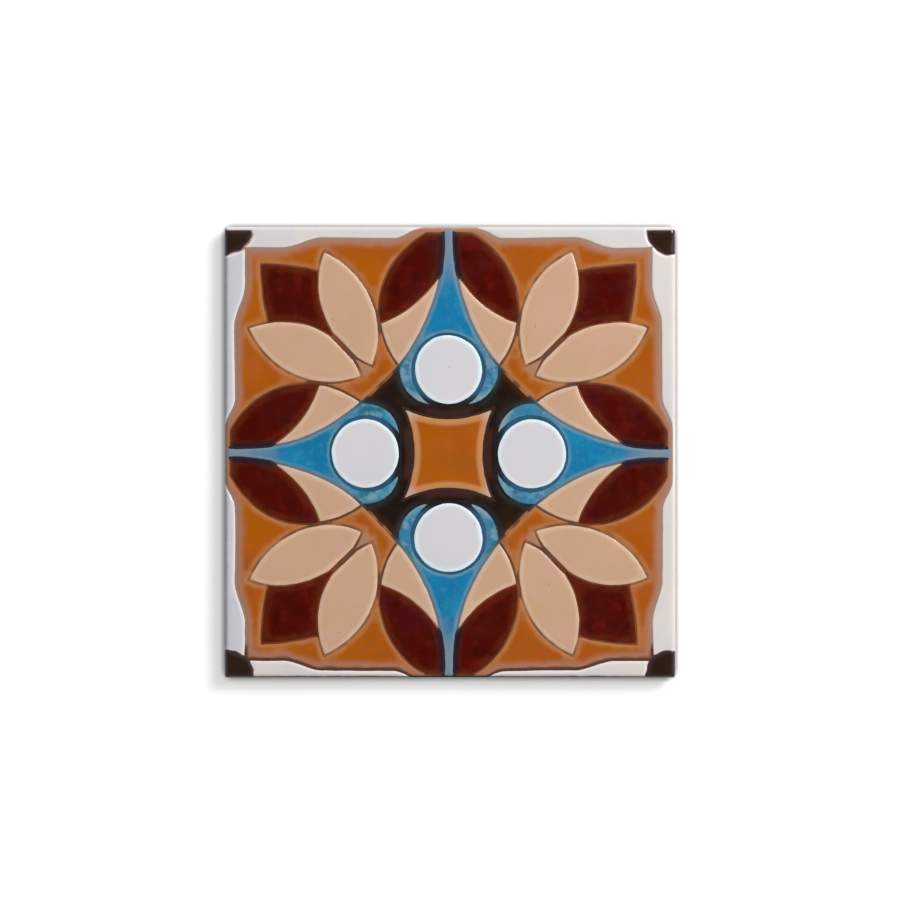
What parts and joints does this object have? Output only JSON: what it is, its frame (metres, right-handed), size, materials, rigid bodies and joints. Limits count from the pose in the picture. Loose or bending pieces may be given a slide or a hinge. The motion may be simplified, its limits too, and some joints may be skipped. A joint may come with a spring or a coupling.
{
  "type": "painted wall tile",
  "caption": "Square glazed ceramic wall tile with a four-fold painted ornament of drops, leaves, petals and a star between dark lines, rounded arris and keyed back.",
  "frame": {"origin": "middle of the back, on the plane that the tile lies on", "axes": "+Z out of the glazed face, +X towards the right edge and +Y towards the top edge of the ornament as pictured"},
  "size_m": [0.15, 0.15, 0.008],
  "materials": {
    "glazed_tile": "gloss",
    "bisque": "matt unglazed clay",
    "outline": "satin dark line",
    "glaze_white": "gloss",
    "glaze_ochre": "gloss",
    "glaze_maroon": "gloss",
    "glaze_sand": "gloss",
    "glaze_blue": "gloss",
    "glaze_black": "gloss"
  },
  "bodies": {
    "root": {"tile": "glazed_tile"}
  },
  "joints": []
}
